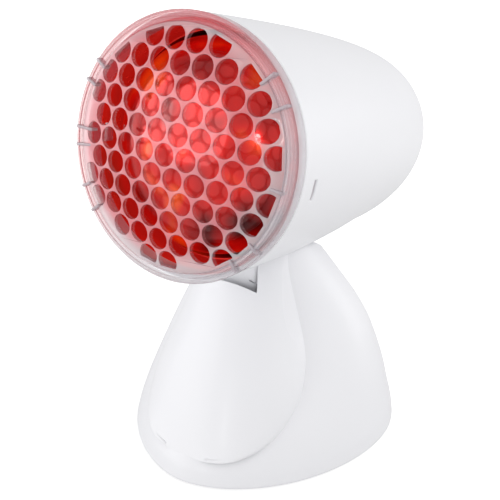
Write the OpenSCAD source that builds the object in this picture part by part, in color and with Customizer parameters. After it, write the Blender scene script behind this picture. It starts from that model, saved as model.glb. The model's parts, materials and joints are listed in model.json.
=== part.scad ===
// Infrared heat therapy lamp, free standing, with a tilting head.
// Millimetres, +Z up. The grille faces -Y, +X is the viewer's right.
// The origin is on the surface the lamp stands on, below the middle of its box.

/* [Stance] */
// Height of the centre of the cover ring above the table
rim_h = 160; // [157:1:163]
// Upward tilt of the head in its stored position, in degrees
rest_tilt = 5.8; // [4:0.2:7]
// Height of the hinge pin above the table
pin_h = 82; // [80.5:0.5:83]

/* [Head] */
// Outer radius of the clear cover ring
rim_r = 55; // [54:0.5:56]
// Depth of the head shell, from the ring's plane to its back
head_len = 210; // [206:1:216]
// How much the shell swells behind the ring
head_swell = 0.8; // [0:0.1:1.4]
// Wall of the head shell
head_wall = 2.4; // [2:0.1:2.8]
// Half width of the neck
neck_w = 17; // [15:0.5:17]
// Half width of the neck's nose in the notch
nose_w = 13.4; // [12.5:0.1:13.8]
// Radius of the neck's drum round the pin
drum_r = 14.5; // [13:0.5:15]

/* [Cover] */
// Distance between the centres of neighbouring holes
hole_pitch = 10.4; // [10:0.1:11]
// Radius of a hole
hole_r = 4.6; // [4.2:0.1:4.8]
// Radius of curvature of the cover's face
dome_r = 217; // [200:1:240]
// How far the face bulges in front of the ring's plane
dome_h = 9.6; // [8:0.2:11]
// Thickness of the face
face_t = 2.2; // [1.8:0.1:2.6]
// Turn of the hole rows and grips about the head's axis, in degrees
cover_turn = 6.6; // [5:0.2:8]

/* [Foot] */
// Wall of the foot's shells
foot_wall = 2.4; // [2:0.1:2.8]
// Clearance between the head and the foot's saddle
saddle_gap = 1.6; // [1.2:0.1:2]
// Half width of the notch in the front panel
notch_w = 16; // [15.6:0.1:16.6]
// Height of the middle of that notch's bottom edge
notch_h = 89.9; // [89:0.1:91]

/* [Hinge] */
// Radius of the hinge pin
pin_r = 3; // [2.5:0.1:3.2]
// Radial running clearance round the pin
pin_fit = 0.05; // [0.02:0.01:0.09]
// Angle between neighbouring tilt positions, in degrees
detent_step = 5; // [4:1:6]

/* [Hidden] */
$fn = 96;

// The ring's plane crosses the lamp's middle plane here (its y, before centring).
y_mid = 99.6;
// Hinge pin, y measured from the ring's centre.
pin_y = 85;
white = [0.93, 0.93, 0.95];
steel = [0.72, 0.73, 0.75];

// ---------- helpers ----------
function seg(t, z, i = 0) = (i >= len(t) - 2 || z < t[i + 1][0]) ? i : seg(t, z, i + 1);
function slope(t, i, k) =
  let (a = max(i - 1, 0), b = min(i + 1, len(t) - 1)) (t[b][k] - t[a][k]) / (t[b][0] - t[a][0]);
// Smooth reading of column k of a table at z
function at(t, z, k) =
  let (i = seg(t, z), h = t[i + 1][0] - t[i][0], s = (z - t[i][0]) / h,
       m0 = slope(t, i, k) * h, m1 = slope(t, i + 1, k) * h)
  (2*s*s*s - 3*s*s + 1) * t[i][k] + (s*s*s - 2*s*s + s) * m0
  + (3*s*s - 2*s*s*s) * t[i + 1][k] + (s*s*s - s*s) * m1;

// Foot frame: y from the ring's plane, moved so that the lamp is centred
module foot() translate([0, -y_mid, 0]) children();
// Head frame: origin at the ring's centre, +y backwards along the head's axis
module head() translate([0, -y_mid, rim_h]) rotate([-rest_tilt, 0, 0]) children();
// Turned profile: x is the radius, y the place along the head's axis
module turned() rotate([-90, 0, 0]) rotate_extrude() children();
module rod(r, y0, y1) translate([0, y0, 0]) rotate([-90, 0, 0]) cylinder(r = r, h = y1 - y0);
// Place something at an angle of the cover, counter-clockwise as seen from the front
module at_angle(a) rotate([0, -a, 0]) children();
module cross_rod(r, x0, x1) translate([x0, 0, 0]) rotate([0, 90, 0]) cylinder(r = r, h = x1 - x0);

// Closed solid from a stack of rings that all have the same number of points
module stack(rings) {
  n = len(rings[0]);
  m = len(rings);
  lo = [for (k = [0:2]) let (s = [for (p = rings[0]) p[k]]) (s * [for (p = rings[0]) 1]) / n];
  hi = [for (k = [0:2]) let (s = [for (p = rings[m - 1]) p[k]]) (s * [for (p = rings[0]) 1]) / n];
  polyhedron(
    points = concat([for (r = rings) for (p = r) p], [lo, hi]),
    faces = concat(
      [for (j = [0:m - 2]) for (i = [0:n - 1]) let (a = j*n + i, b = j*n + (i + 1) % n) [a, b + n, b]],
      [for (j = [0:m - 2]) for (i = [0:n - 1]) let (a = j*n + i, b = j*n + (i + 1) % n) [a, a + n, b + n]],
      [for (i = [0:n - 1]) [(i + 1) % n, m*n, i]],
      [for (i = [0:n - 1]) [(m - 1)*n + i, m*n + 1, (m - 1)*n + (i + 1) % n]]));
}

// ---------- head shell ----------
shell_front = 3.6;
// Power of the head's long curve and of its blunt back
hp = 3.57;
function head_r(y) = rim_r + head_swell * sin(90 * min(y / 80, 1));
function head_curve(len, off, n) = [for (i = [0:n])
  let (f = 90 * i / n, y = len * pow(sin(f), 2 / hp)) [(head_r(y) - off) * pow(max(cos(f), 0), 1/3), max(y, shell_front)]];
function back_turn(v) = [for (i = [len(v) - 1:-1:0]) v[i]];

boss_x = 30;
module head_shell() color(white) head() difference() {
  union() {
    turned() polygon(concat(head_curve(head_len, 0, 40), back_turn(head_curve(head_len - head_wall, head_wall, 40))));
    // neck: a drum round the pin and a nose in front of it, joined to the shell
    difference() {
      union() {
        translate([0, drum_y, drum_z]) cross_rod(drum_r, -neck_w, neck_w);
        translate([-neck_w, drum_y - 13.5, drum_z]) cube([2 * neck_w, 27, -drum_z - 50]);
        translate([0, drum_y, drum_z]) rotate([rest_tilt, 0, 0]) {
          translate([-nose_w, -40, -9]) cube([2 * nose_w, 40, 34]);
          translate([-nose_w + 3, -44, -9]) cube([2 * nose_w - 6, 10, 32]);
          for (s = [-1, 1]) translate([s * (nose_w - 3.5), -40.5, -9]) cylinder(r = 3.5, h = 33);
        }
      }
      rod(rim_r + head_swell - head_wall - 0.6, 0, head_len - 20);
    }
    // bosses for the bracket that carries the lamp holder
    for (s = [-1, 1]) translate([s * boss_x, 0, 0]) rod(4.5, 161.6, head_len - 3);
    for (s = [-1, 1]) translate([s * boss_x - 0.8, 184, -4.4]) cube([1.6, 22, 8.8]);
  }
  // windows for the cover's two snap hooks
  for (a = [-10.8, 177.6]) at_angle(a) translate([rim_r - 6, 13.4, -4.35]) cube([10, 2.2, 8.7]);
  // pilot holes of the bosses
  for (s = [-1, 1]) translate([s * boss_x, 0, 0]) rod(1.45, 160, 178);
  // pin bore, pocket for the detent wheel, lead channel
  translate([0, drum_y, drum_z]) cross_rod(pin_r + pin_fit, -neck_w - 1, neck_w + 1);
  translate([0, drum_y, drum_z]) cross_rod(drum_r + 4, 11.8, neck_w + 1);
  translate([-9.3, drum_y + 6.4, drum_z - 20]) cube([6.6, 4.4, 45]);
  // air slots round the back, with a rim that stays closed
  for (i = [0:11]) rotate([0, 30 * i + 15, 0]) translate([13, head_len - 12, -1.5]) cube([13, 16, 3]);
}
// the pin, seen from the head's frame
drum_y = pin_y * cos(rest_tilt) + (rim_h - pin_h) * sin(rest_tilt);
drum_z = pin_y * sin(rest_tilt) - (rim_h - pin_h) * cos(rest_tilt);

// ---------- clear cover ----------
function face_y(r, off = 0) = dome_r - dome_h - sqrt((dome_r - off) * (dome_r - off) - r * r);
field_r = 49.2;
function in_field(x, z, r) = x * x + z * z < r * r;
module cover_hole(x, z) {
  if (in_field(x, z, field_r - hole_r - 0.2)) translate([x, 0, z]) rod(hole_r, -16, 4);
  else intersection() { translate([x, 0, z]) rod(hole_r, -16, 4); rod(field_r, -17, 5); }
}
module grip(a, r0, r1, h) at_angle(a) translate([r0, -3.2 - h, -0.65]) cube([r1 - r0, h + 2.6, 1.3]);
module snap_hook(a) at_angle(a) {
  translate([51.1, 5, -3.9]) cube([1, 12, 7.8]);
  translate([51.1, 13.7, -3.9]) cube([3, 1.6, 7.8]);
}
module front_cover() color([1, 0.8, 0.82, 0.4]) head() {
  difference() {
    turned() polygon(concat(
      [for (i = [0:12]) let (r = 50.4 * i / 12) [r, face_y(r)]],
      [[50.6, -5], [51.8, -5.1], [52.4, -3.6], [53.2, -3.2], [53.6, -4], [54.5, -3.9], [rim_r, -3], [rim_r, 3.3], [53.2, 3.3], [52.1, 3.6], [52.1, 8.4], [51.1, 8.4], [51.1, 0.6], [50.2, -1.3]],
      [for (i = [12:-1:0]) let (r = 49.8 * i / 12) [r, face_y(r, face_t)]]));
    rotate([0, cover_turn, 0]) for (j = [-4:8]) for (i = [-2:10])
      let (x = hole_pitch * (i + (j % 2 == 0 ? 0 : 0.5) - 4.07), z = hole_pitch * 0.866 * (1.9 - j))
      if (in_field(x, z, 47.9)) cover_hole(x, z);
  }
  // ribs and finger grips round the ring: angle, inner and outer radius
  for (g = [[37.2, 47.4, 54.6], [24, 47.2, 54.4], [-11, 45.8, 51.6], [-39.8, 48.8, 54.6], [-53.3, 48.9, 54.6],
            [173.7, 44.2, 54.2], [-177.7, 44.2, 54.2], [140, 48.6, 58.6], [150.6, 48.6, 58.6], [-157.6, 48.8, 55.4], [-145, 48.8, 55.4]])
    grip(g[0], g[1], g[2], 2.6);
  for (a = [-10.8, 177.6]) snap_hook(a);
}

// ---------- bulb and its holder ----------
module heat_shield() color([0.8, 0.81, 0.83]) head() difference() {
  turned() polygon([[49.6, 24], [50.2, 24], [49.9, 26], [44.6, 140], [36.6, 157.9], [21, 157.9], [21, 157.3], [36.2, 157.3], [44, 139.7], [49.3, 26]]);
  for (s = [-1, 1]) translate([s * boss_x, 0, 0]) rod(1.9, 150, 162);
}
bulb = [[0, 0, 4], [1, 15, 4.9], [2, 28, 7.2], [3, 38, 10.4], [4, 44, 14.6], [5, 47, 20], [6, 47.5, 27], [7, 46, 38], [8, 42.5, 50], [9, 37.5, 62], [10, 31.5, 74], [11, 25.6, 86], [12, 20.8, 96], [13, 17.6, 105], [14, 16.4, 112.8]];
module bulb_glass() color([0.75, 0.05, 0.04]) head() turned() polygon(concat(
  [for (i = [0:56]) [at(bulb, i / 4, 1), at(bulb, i / 4, 2)]],
  [for (i = [56:-1:0]) let (r = at(bulb, i / 4, 1), y = at(bulb, i / 4, 2), k = min(i / 16, 1)) [max(r - 1.2 * k, 0), y + 1.3 * (1 - k * k)]]));
function thread(r0, dr, y0, n, pitch, k) = [for (i = [0:k * n]) [r0 + dr * sin(360 * i / k), y0 + pitch * i / k]];
module bulb_cap() color([0.86, 0.84, 0.78]) head() turned() polygon(concat(
  [[12, 113], [16.6, 113], [16.6, 115], [13.2, 116.6]], thread(12.7, 0.4, 118.6, 5, 3.3, 8), [[11, 136.8], [9.5, 137.6], [8.5, 137.6], [11.6, 118.5]]));
module bulb_insulator() color([0.1, 0.1, 0.12]) head() turned() polygon([[0, 136.2], [8.2, 136.2], [8.2, 137.8], [9.2, 137.8], [5, 140.6], [0, 140.6]]);
module bulb_contact() color("silver") head() turned() polygon([[0, 140.6], [4.6, 140.6], [4, 142], [2, 142.8], [0, 143]]);
module bulb_filament() color([1, 0.6, 0.3]) head() {
  translate([0, 46, 0]) rotate([-90, 0, 0]) rotate_extrude() translate([9, 0]) circle(r = 0.7);
  for (s = [-1, 1]) translate([s * 9, 46, 0]) rod(0.6, 0, 66);
}
module lamp_holder() color([0.95, 0.94, 0.9]) head() difference() {
  turned() polygon([[13.9, 117], [18.2, 117], [19.4, 118.4], [19.4, 140], [20.4, 141], [20.4, 157.2], [5, 157.2], [5, 149], [13.9, 149]]);
  for (s = [-1, 1]) translate([0, 0, s * 12]) rod(1.6, 152, 160);
}
module holder_sleeve() color("gold") head() turned() polygon([[13.35, 119], [13.75, 119], [13.75, 147.6], [10, 147.6], [10, 147.1], [13.35, 147.1]]);
module holder_contact() color("gold") head() {
  translate([-2.5, 143.1, -3]) cube([5, 0.6, 11]);
  translate([-2.5, 143.1, 7.4]) cube([5, 5.8, 0.6]);
}
module holder_screws() color(steel) head() for (s = [-1, 1]) translate([0, 0, s * 12]) {
  rod(1.5, 152.2, 160);
  rod(2.9, 159.7, 161.6);
}
module holder_bracket() color(steel) head() difference() {
  rod(37.5, 158, 159.6);
  rod(7, 150, 170);
  for (s = [-1, 1]) translate([s * boss_x, 0, 0]) rod(1.9, 150, 170);
  for (s = [-1, 1]) translate([0, 0, s * 12]) rod(1.8, 150, 170);
  for (i = [0:5]) rotate([0, 60 * i + 30, 0]) translate([28, 0, 0]) rod(4, 150, 170);
}
module bracket_screws() color(steel) head() for (s = [-1, 1]) translate([s * boss_x, 0, 0]) {
  rod(1.4, 157.5, 172);
  rod(3, 155.4, 157.2);
  rod(1.8, 157.1, 159.6);
}
module thermal_cutout() color([0.2, 0.2, 0.22]) head() {
  translate([12, 159.7, 8]) cube([16, 5, 9]);
  translate([10, 160.4, 10]) cube([2.2, 1, 5]);
}
module head_terminal() color([0.9, 0.9, 0.85]) head() {
  translate([-10, 164, -27]) cube([20, 9, 13]);
  translate([-2, 159.7, -24]) cube([4, 4.3, 6]);
}
// A round lead that runs in a plane of constant x, through points [y, z]
function bend(v, i) =
  let (a = v[max(i - 1, 0)], b = v[min(i + 1, len(v) - 1)], d = b - a) d / norm(d);
function rounded(v, n = 3) = concat([v[0]],
  [for (i = [1:len(v) - 2]) let (a = v[i] - v[i - 1], b = v[i + 1] - v[i], t = min(norm(a), norm(b), 8) * 0.42, p = v[i] - a / norm(a) * t, q = v[i] + b / norm(b) * t)
    for (k = [0:n]) let (s = k / n) (1 - s) * (1 - s) * p + 2 * s * (1 - s) * v[i] + s * s * q],
  [v[len(v) - 1]]);
module lead(x, path, r) {
  v = rounded(path);
  stack([for (i = [0:len(v) - 1]) let (d = bend(v, i))
    [for (j = [0:11]) let (f = 30 * j) [x + r * cos(f), v[i][0] - r * sin(f) * d[1], v[i][1] + r * sin(f) * d[0]]]]);
}
module head_leads() color([0.2, 0.25, 0.6]) head() for (x = [-7.6, -4.4])
  lead(x, [[168.5, -27.3], [168.5, -37], [152, -43.6], [130, -47.6], [112, -49.4], [drum_y + 8.6, -49.2], [drum_y + 8.6, drum_z + 2]], 1.2);

// ---------- hinge ----------
module at_pin() foot() translate([0, pin_y, pin_h]) children();
module detent_wheel() color(steel) at_pin() difference() {
  cross_rod(13, 12.1, 16.7);
  cross_rod(pin_r + pin_fit, 0, 20);
  for (k = [-4:4]) rotate([k * detent_step, 0, 0]) translate([0, 13.3, 0]) cross_rod(0.6, 10, 20);
}
frame_x = 18.6;
module hinge_frame() color(steel) foot() difference() {
  union() {
    for (s = [-1, 1]) translate([s * (frame_x + 1.1) - 1.1, pin_y - 11, 9.2]) cube([2.2, 22, pin_h - 9.2]);
    for (s = [-1, 1]) translate([0, pin_y, pin_h]) cross_rod(11, s * (frame_x + 1.1) - 1.1, s * (frame_x + 1.1) + 1.1);
    translate([-34, pin_y - 22, 9.2]) cube([68, 44, 2]);
    translate([-frame_x - 1, pin_y + 9, 40]) cube([2 * frame_x + 2, 2, 14]);
  }
  translate([0, pin_y, pin_h]) cross_rod(pin_r + pin_fit, -30, 30);
  for (x = [-28, 28]) for (y = [-16, 16]) translate([x, pin_y + y, 0]) cylinder(r = 1.8, h = 20);
  for (z = [43.5, 50.5]) translate([14.2, pin_y + 8, z]) rotate([-90, 0, 0]) cylinder(r = 1.3, h = 6);
}
module hinge_pin() color("silver") at_pin() difference() {
  union() { cross_rod(pin_r, -21, 24.5); cross_rod(5.2, -23, -20.95); }
  difference() { cross_rod(pin_r + 1, 22.2, 23.1); cross_rod(pin_r - 0.6, 22, 23.3); }
}
module pin_clip() color(steel) at_pin() difference() {
  cross_rod(5.4, 22.25, 23.05);
  cross_rod(pin_r - 0.55, 22, 23.3);
  translate([22, -1.9, -8]) cube([1.3, 3.8, 8]);
}
module pin_washers() color([0.8, 0.7, 0.5]) at_pin() difference() {
  union() { cross_rod(7.5, -18.5, -17.1); cross_rod(7.5, 17.1, 18.5); }
  cross_rod(pin_r + 0.15, -20, 20);
}
module detent_spring() color(steel) foot() difference() {
  union() {
    translate([12.4, pin_y, 0]) rotate([90, 0, 90]) linear_extrude(3.8)
      polygon([[11.1, 40], [11.9, 40], [11.9, 54], [14.9, pin_h - 6], [14.9, pin_h + 6], [14.1, pin_h + 6], [14.1, pin_h - 5.9], [11.1, 54.1]]);
    translate([0, pin_y + 14.3, pin_h]) cross_rod(1, 12.6, 16);
  }
  for (z = [43.5, 50.5]) translate([14.2, pin_y + 8, z]) rotate([-90, 0, 0]) cylinder(r = 1.3, h = 6);
}
module spring_screws() color(steel) foot() for (z = [43.5, 50.5]) translate([14.2, 0, z]) {
  rod(1.2, pin_y + 8.6, pin_y + 12.2);
  rod(1.8, pin_y + 11.95, pin_y + 13);
}

// ---------- foot ----------
// height, half width, front and back of the foot's outline, y of its widest line, and the power of its front curve
outline = [
  [0, 72, -8.6, 149, 82, 1.8], [5, 70.9, -6.6, 149.5, 82, 1.8], [10, 69.9, -4.4, 149, 82.4, 1.8], [20, 67, 3.4, 146.5, 83, 1.84],
  [32, 63.5, 16.8, 143, 84, 1.9], [44, 59, 28.5, 139.5, 84, 1.96], [56, 54, 36.5, 133, 84.7, 2], [68, 47.5, 41.2, 125.5, 83.3, 2],
  [80, 39.8, 43.2, 117, 80.1, 2], [92, 31.8, 43.6, 108.7, 76.2, 2], [104, 24, 43.4, 100, 71.7, 2]];
// height, half width and y of the edge of the front panel
crease = [
  [12.3, 0, -2.4], [12.9, 12, -1.4], [14.2, 22, 2.2], [16.4, 29, 8.2], [19.8, 35, 17], [24.4, 38.6, 25.2], [30.6, 40.7, 33.4],
  [40, 41.1, 41], [50, 39.4, 47.4], [60, 36.2, 52.2], [70, 32.5, 54.4], [80, 28.8, 54.9], [90, 25.3, 55.2], [100, 22.6, 57.2], [106, 21.4, 59]];
// y of the middle of the front panel
function panel_y(z) = -2.6 + (z - 12.3) * 0.486;
shell_foot = 1.6;
// the saddle left free by the head over its whole travel
function saddle(x, y) = let (d = y - pin_y) min(rim_h - 56.5,
  rim_h - pin_y * tan(rest_tilt) - sqrt(55.9 * 55.9 - x * x) - 0.102 * d - (d > 0 ? 0.297 * d : 0) - saddle_gap);
function foot_point(f, z, off) = let (
  a = at(outline, z, 1) - off, c = at(outline, z, 4), e = sin(f) < 0 ? 2 / at(outline, z, 5) : 1,
  b = sin(f) < 0 ? c - at(outline, z, 2) - off : at(outline, z, 3) - c - off)
  [a * sign(cos(f)) * pow(abs(cos(f)), e), c + b * sign(sin(f)) * pow(abs(sin(f)), e), z];
function foot_ring(u, off, z0, drop) = [for (i = [0:63]) let (
  f = 360 * i / 64, zt = saddle(27 * cos(f), 73 + 29.5 * sin(f)) - drop) foot_point(f, z0 + (zt - z0) * u, off)];
// the top follows the saddle inwards from the last ring
function foot_cap(r, off, drop) = [for (p = foot_ring(1, off, 0, drop)) let (x = p[0] * r, y = 76 + (p[1] - 76) * r)
  [x, y, saddle(x, y) - drop]];
module foot_body(off, z0, drop, n) stack(concat([for (k = [0:n]) foot_ring(k / n, off, z0, drop)], [for (r = [0.9, 0.78, 0.64]) foot_cap(r, off, drop)]));
// the front panel's outline, seen from the front
function egg_outline(grow) = concat(
  [for (k = [0:30]) let (z = 12.3 + 93.7 * pow(k / 30, 2)) [at(crease, z, 1) + grow * min(k / 2, 1), z - grow * max(0, 1 - k / 6)]],
  [for (k = [30:-1:1]) let (z = 12.3 + 93.7 * pow(k / 30, 2)) [-at(crease, z, 1) - grow * min(k / 2, 1), z - grow * max(0, 1 - k / 6)]]);

screw_at = [[45, 36], [-45, 36], [45, 115], [-45, 115]];
module to_wall(p) { // one gusset from a boss to the wall
  q = [sign(p[0]) * (p[1] < 72 ? 49.7 : 52.4), p[1] < 72 ? 32.4 : 122.4];
  hull() { translate([p[0], p[1], 5]) cylinder(r = 0.8, h = 9, $fn = 16); translate([q[0], q[1], 5]) cylinder(r = 0.8, h = 9, $fn = 16); }
  hull() { translate([p[0], p[1], 5]) cylinder(r = 0.8, h = 10, $fn = 16); translate([p[0], p[1] + (p[1] < 72 ? 12 : -12), 5]) cylinder(r = 0.8, h = 4, $fn = 16); }
}
switch_y = 142.3;
switch_z = 34;
switch_lean = 16.5;
module at_switch() foot() translate([0, switch_y, switch_z]) rotate([switch_lean, 0, 0]) children();
grommet_y = 149;
grommet_z = 13;
module rear_shell() color(white) {
  foot() difference() {
    foot_body(0, shell_foot, 0, 20);
    translate([0, 0, -0.01]) foot_body(foot_wall, shell_foot - 0.5, foot_wall, 20);
    translate([0, 62, 0]) rotate([90, 0, 0]) linear_extrude(90) polygon(egg_outline(0));
    // slot that the neck swings in
    translate([-18.2, 20, pin_h - 16]) cube([36.4, 83, 60]);
    // cord inlet and switch opening
    translate([0, 140, grommet_z]) rotate([-90, 0, 0]) cylinder(r = 5.3, h = 20, $fn = 48);
    translate([0, switch_y, switch_z]) rotate([switch_lean, 0, 0]) translate([-9.9, -12, -6.9]) cube([19.8, 24, 13.8]);
    translate([0, switch_y, switch_z]) rotate([switch_lean, 0, 0]) translate([-11.4, 0, -8.4]) cube([22.8, 6, 16.8]);
  }
  foot() difference() {
    union() for (p = screw_at) { translate([p[0], p[1], 5]) cylinder(r = 4, h = 12, $fn = 32); to_wall(p); }
    for (p = screw_at) translate([p[0], p[1], 4]) cylinder(r = 1.5, h = 11, $fn = 24);
  }
}
// a level line across the front panel, from edge to edge
function panel_top(f) = let (x1 = 23 * sin(f), y1 = 57 - 17 * cos(f)) saddle(x1, y1);
function panel_line(u, off, n) = [for (i = [0:n]) let (
  f = -90 + 180 * i / n, zt = panel_top(f), z = 12.9 + (zt - 12.9) * u,
  xc = at(crease, z, 1) - 0.25 - off, yc = at(crease, z, 2), ym = panel_y(z) + off)
  [xc * sin(f), yc - (yc - ym) * cos(f), z + off * 0.3 * (1 - u)]];
module panel_skin() {
  n = 30; m = 24; w = n + 1;
  A = [for (j = [0:m]) panel_line(pow(j / m, 1.7), 0, n)];
  B = [for (j = [0:m]) panel_line(pow(j / m, 1.7), 2, n)];
  N = w * (m + 1);
  polyhedron(points = concat([for (r = A) for (p = r) p], [for (r = B) for (p = r) p]),
    faces = concat(
      [for (j = [0:m - 1]) for (i = [0:n - 1]) let (a = j*w + i) [a, a + w, a + 1]],
      [for (j = [0:m - 1]) for (i = [0:n - 1]) let (a = j*w + i) [a + 1, a + w, a + w + 1]],
      [for (j = [0:m - 1]) for (i = [0:n - 1]) let (a = N + j*w + i) [a, a + 1, a + w]],
      [for (j = [0:m - 1]) for (i = [0:n - 1]) let (a = N + j*w + i) [a + 1, a + w + 1, a + w]],
      [for (i = [0:n - 1]) [i, i + 1, N + i]], [for (i = [0:n - 1]) [i + 1, N + i + 1, N + i]],
      [for (i = [0:n - 1]) let (a = m*w + i) [a, N + a, a + 1]], [for (i = [0:n - 1]) let (a = m*w + i) [a + 1, N + a, N + a + 1]],
      [for (j = [0:m - 1]) let (a = j*w) [a, N + a, a + w]], [for (j = [0:m - 1]) let (a = j*w) [a + w, N + a, N + a + w]],
      [for (j = [0:m - 1]) let (a = j*w + n) [a, a + w, N + a]], [for (j = [0:m - 1]) let (a = j*w + n) [a + w, N + a + w, N + a]]));
}
module front_panel() color(white) foot() difference() {
  union() {
    panel_skin();
    // pegs that hold the panel in the shell
    for (z = [26, 42, 58, 74]) for (s = [-1, 1]) hull() {
      translate([s * (at(crease, z, 1) - 4.6), at(crease, z, 2) - 7, z]) sphere(r = 1.4, $fn = 16);
      translate([s * (at(crease, z, 1) - 5.4), at(crease, z, 2) + 4, z]) sphere(r = 1.2, $fn = 16);
    }
  }
  translate([0, 80, 0]) rotate([90, 0, 0]) linear_extrude(80)
    polygon(concat([for (i = [-6:6]) let (x = notch_w * i / 6) [x, notch_h - 0.0133 * x * x]], [[notch_w, 130], [-notch_w, 130]]));
}
module base_plate() color([0.85, 0.85, 0.87]) foot() difference() {
  translate([0, 0, 2.6]) linear_extrude(2.2) polygon([for (i = [0:95]) let (p = foot_point(3.75 * i, 4.8, foot_wall + 0.6)) [p[0], p[1]]]);
  for (p = screw_at) translate([p[0], p[1], 0]) cylinder(r = 1.8, h = 10);
  for (p = foot_at) translate([p[0], p[1], 0]) cylinder(r = 2.6, h = 10);
  for (x = [-28, 28]) for (y = [-16, 16]) translate([x, pin_y + y, 0]) cylinder(r = 1.8, h = 10);
}
module ballast_plate() color([0.45, 0.46, 0.48]) foot() difference() {
  translate([-39, 33, 4.9]) cube([78, 80, 4.2]);
  for (x = [-28, 28]) for (y = [-16, 16]) translate([x, pin_y + y, 0]) cylinder(r = 2, h = 20);
}
foot_at = [[50, 46], [-50, 46], [50, 98], [-50, 98], [0, 6], [0, 138]];
module rubber_feet() color([0.2, 0.2, 0.2]) foot() for (p = foot_at) translate([p[0], p[1], 0]) {
  cylinder(r1 = 5.6, r2 = 6, h = 2.55);
  cylinder(r = 2.5, h = 5.6);
  translate([0, 0, 4.85]) cylinder(r = 3, h = 0.9);
}
module base_screws() color(steel) foot() for (p = screw_at) translate([p[0], p[1], 0]) {
  translate([0, 0, 0.9]) cylinder(r = 3.2, h = 1.65);
  translate([0, 0, 2]) cylinder(r = 1.4, h = 12);
}
module frame_screws() color(steel) foot() for (x = [-28, 28]) for (y = [-16, 16]) translate([x, pin_y + y, 0]) {
  translate([0, 0, 0.9]) cylinder(r = 3.2, h = 1.65);
  translate([0, 0, 2]) cylinder(r = 1.6, h = 12);
  translate([0, 0, 11.25]) cylinder(r = 3, h = 2.2, $fn = 6);
}
module foot_terminal() color([0.9, 0.9, 0.85]) foot() translate([-12, 116, 4.85]) cube([24, 12, 11]);
module foot_leads() color([0.55, 0.3, 0.15]) foot() {
  for (x = [-7.6, -4.4]) lead(x, [[115.7, 12], [110, 12], [104, 20], [98.6, 30], [98.6, 62]], 1.2);
  for (x = [-4.4, 4.4]) lead(x, [[128.3, 10], [131.6, 10], [131.6, 17], [125.4, 24], [125.2, 28.9], [130.3, 30.5]], 1.2);
}
module lead_clamp() color([0.9, 0.9, 0.85]) foot() difference() {
  translate([-14, pin_y + 11.1, 42]) cube([14, 5.2, 8]);
  for (x = [-7.6, -4.4]) translate([x, 98.6, 30]) cylinder(r = 1.3, h = 40);
  translate([-11.4, pin_y + 8, 46]) rotate([-90, 0, 0]) cylinder(r = 1.1, h = 20);
}
module clamp_screws() color(steel) foot() translate([-11.4, 0, 46]) { rod(1, pin_y + 11.2, pin_y + 16.4); rod(1.9, pin_y + 16.35, pin_y + 17.4); }
module switch_frame() color([0.12, 0.12, 0.13]) at_switch() difference() {
  translate([-11.2, 0.1, -8.2]) cube([22.4, 3, 16.4]);
  translate([-8, -1, -5.6]) cube([16, 6, 11.2]);
}
module switch_body() color([0.12, 0.12, 0.13]) at_switch() difference() {
  translate([-9.6, -12, -6.6]) cube([19.2, 12, 13.2]);
  translate([-8, -6.4, -5.6]) cube([16, 8, 11.2]);
}
module switch_rocker() color([0.15, 0.15, 0.16]) at_switch() {
  translate([-7.6, -2.2, 0]) rotate([0, 90, 0]) cylinder(r = 1.6, h = 15.2);
  intersection() {
    translate([-7.6, -2.2, 0]) rotate([8, 0, 0]) translate([0, 0, -4.4]) cube([15.2, 6.2, 8.8]);
    translate([-7.6, -2.2, 0]) rotate([0, 90, 0]) cylinder(r = 7, h = 15.2);
  }
}
module cord_grommet() color([0.15, 0.15, 0.16]) foot() translate([0, 0, grommet_z]) difference() {
  union() { rod(5.1, grommet_y - 6, grommet_y + 0.6); rod(7, grommet_y + 0.5, grommet_y + 2.4); rod(6.6, grommet_y - 9.2, grommet_y - 5); }
  rod(3.6, grommet_y - 20, grommet_y + 10);
}

front_cover();
head_shell();
heat_shield();
bulb_glass();
bulb_cap();
bulb_insulator();
bulb_contact();
bulb_filament();
lamp_holder();
holder_sleeve();
holder_contact();
holder_screws();
holder_bracket();
bracket_screws();
thermal_cutout();
head_terminal();
head_leads();
detent_wheel();
hinge_frame();
hinge_pin();
pin_clip();
pin_washers();
detent_spring();
spring_screws();
front_panel();
rear_shell();
base_plate();
ballast_plate();
rubber_feet();
base_screws();
frame_screws();
foot_terminal();
foot_leads();
lead_clamp();
clamp_screws();
switch_frame();
switch_body();
switch_rocker();
cord_grommet();
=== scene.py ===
import bpy, bmesh, json, math
from mathutils import Vector, Matrix


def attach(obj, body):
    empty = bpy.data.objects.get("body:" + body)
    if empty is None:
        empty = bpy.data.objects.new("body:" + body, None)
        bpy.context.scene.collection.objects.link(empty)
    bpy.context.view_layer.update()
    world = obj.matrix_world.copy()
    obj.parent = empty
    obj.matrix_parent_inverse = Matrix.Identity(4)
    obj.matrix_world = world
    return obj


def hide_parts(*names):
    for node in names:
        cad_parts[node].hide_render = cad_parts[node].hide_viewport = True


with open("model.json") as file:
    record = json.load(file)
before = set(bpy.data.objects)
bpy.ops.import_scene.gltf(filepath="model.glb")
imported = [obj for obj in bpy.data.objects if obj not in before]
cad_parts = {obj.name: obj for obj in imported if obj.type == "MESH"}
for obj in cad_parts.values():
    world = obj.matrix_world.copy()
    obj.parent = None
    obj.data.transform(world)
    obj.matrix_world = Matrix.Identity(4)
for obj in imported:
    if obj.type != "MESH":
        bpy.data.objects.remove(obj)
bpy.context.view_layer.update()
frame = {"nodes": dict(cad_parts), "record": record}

col = bpy.context.scene.collection
R = math.radians

# ------------------------------------------------------------------ frames, in millimetres
YM, RIM, TILT = 99.6, 160.0, R(5.8)
CT, ST = math.cos(TILT), math.sin(TILT)
PIN_Y, PIN_Z = 85.0, 82.0


def head_pt(x, y, z):
    return Vector((x / 1000, (y * CT + z * ST - YM) / 1000, (RIM - y * ST + z * CT) / 1000))


def foot_pt(x, y, z):
    return Vector((x / 1000, (y - YM) / 1000, z / 1000))


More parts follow.
